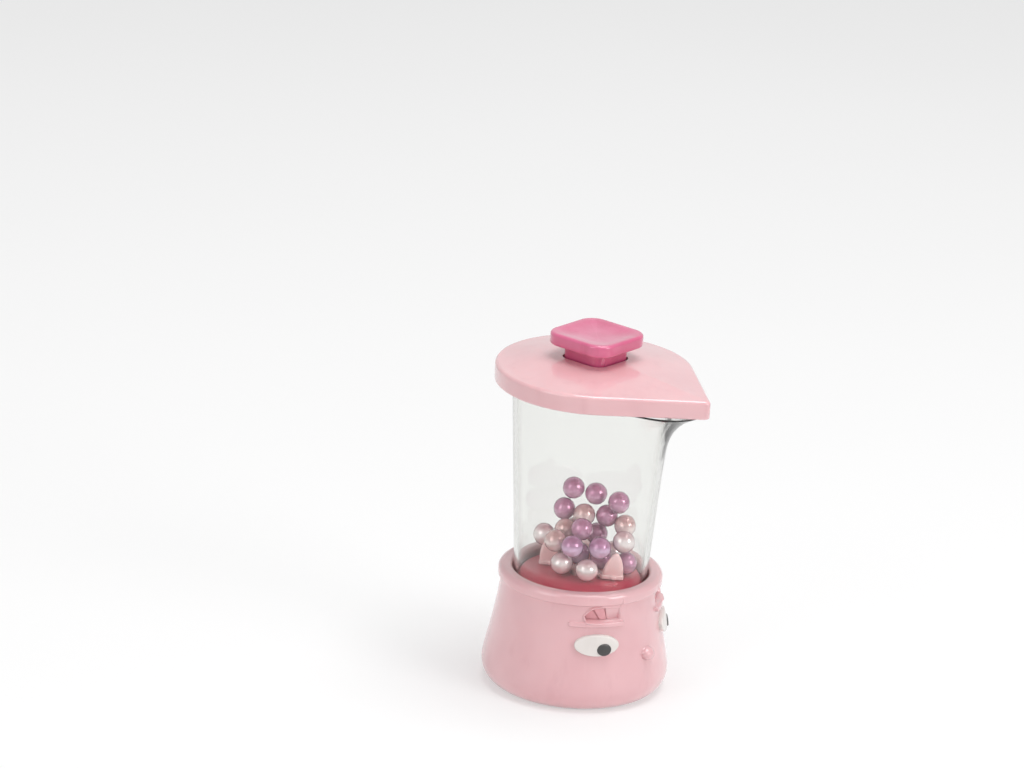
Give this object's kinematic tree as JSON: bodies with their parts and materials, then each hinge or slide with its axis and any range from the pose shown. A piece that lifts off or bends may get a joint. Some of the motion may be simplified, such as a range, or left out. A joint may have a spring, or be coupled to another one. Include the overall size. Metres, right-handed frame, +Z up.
{
  "type": "toy blender",
  "caption": "Small toy blender: pink pot-shaped base with a face, clear spouted jar of loose pearl beads over a finned rotor, drop-shaped lid and a sprung square push knob.",
  "frame": {"origin": "middle of the bounding box's bottom, on the surface that the toy stands on; the axis of the base, jar, rotor and knob is the vertical line through x 0, y 0.0045 m", "axes": "+Z up, -Y to the front with the spout and the nose, +X to the toy's left eye"},
  "size_m": [0.0392, 0.0482, 0.0735],
  "materials": {
    "pale_pink": "satin gloss",
    "dark_pink": "gloss",
    "deep_pink": "gloss",
    "clear_plastic": "clear gloss",
    "eye_white": "gloss",
    "pupil_black": "gloss",
    "steel": "bright",
    "nylon": "matte",
    "pearl_purple": "pearl",
    "pearl_lilac": "pearl",
    "pearl_blush": "pearl",
    "pearl_white": "pearl"
  },
  "bodies": {
    "housing": {"base_shell": "pale_pink", "bottom_cover": "pale_pink", "cover_screw_1": "steel", "cover_screw_2": "steel", "cover_screw_3": "steel", "eye_white_left": "eye_white", "eye_white_right": "eye_white", "pupil_left": "pupil_black", "pupil_right": "pupil_black", "jar_floor": "deep_pink", "jar": "clear_plastic", "thrust_washer": "nylon", "lid_shell": "pale_pink", "lid_plate": "pale_pink", "knob_spring": "steel"},
    "turning_set": {"rotor": "pale_pink", "finger_dial": "dark_pink", "rotor_screw": "steel", "bead_01": "pearl_white", "bead_02": "pearl_white", "bead_03": "pearl_lilac", "bead_04": "pearl_lilac", "bead_05": "pearl_purple", "bead_06": "pearl_white", "bead_07": "pearl_blush", "bead_08": "pearl_purple", "bead_09": "pearl_purple", "bead_10": "pearl_blush", "bead_11": "pearl_blush", "bead_12": "pearl_blush", "bead_13": "pearl_white", "bead_14": "pearl_purple", "bead_15": "pearl_purple", "bead_16": "pearl_purple", "bead_17": "pearl_purple", "bead_18": "pearl_purple", "bead_19": "pearl_blush", "bead_20": "pearl_purple", "bead_21": "pearl_lilac", "bead_22": "pearl_white", "bead_23": "pearl_blush"},
    "push_knob": {"knob": "dark_pink", "knob_washer": "nylon", "knob_screw": "steel"}
  },
  "joints": [
    {"name": "rotor_turn", "type": "hinge", "parent": "housing", "child": "turning_set", "pos_m": [0, 0.0045, 0.0233], "axis": [0, 0, 1], "continuous": true},
    {"name": "knob_press", "type": "slide", "parent": "housing", "child": "push_knob", "axis": [0, 0, -1], "range_m": [0, 0.002], "stiffness_N_per_m": 1500, "springref_m": -0.0015, "deforming": ["knob_spring"]}
  ]
}
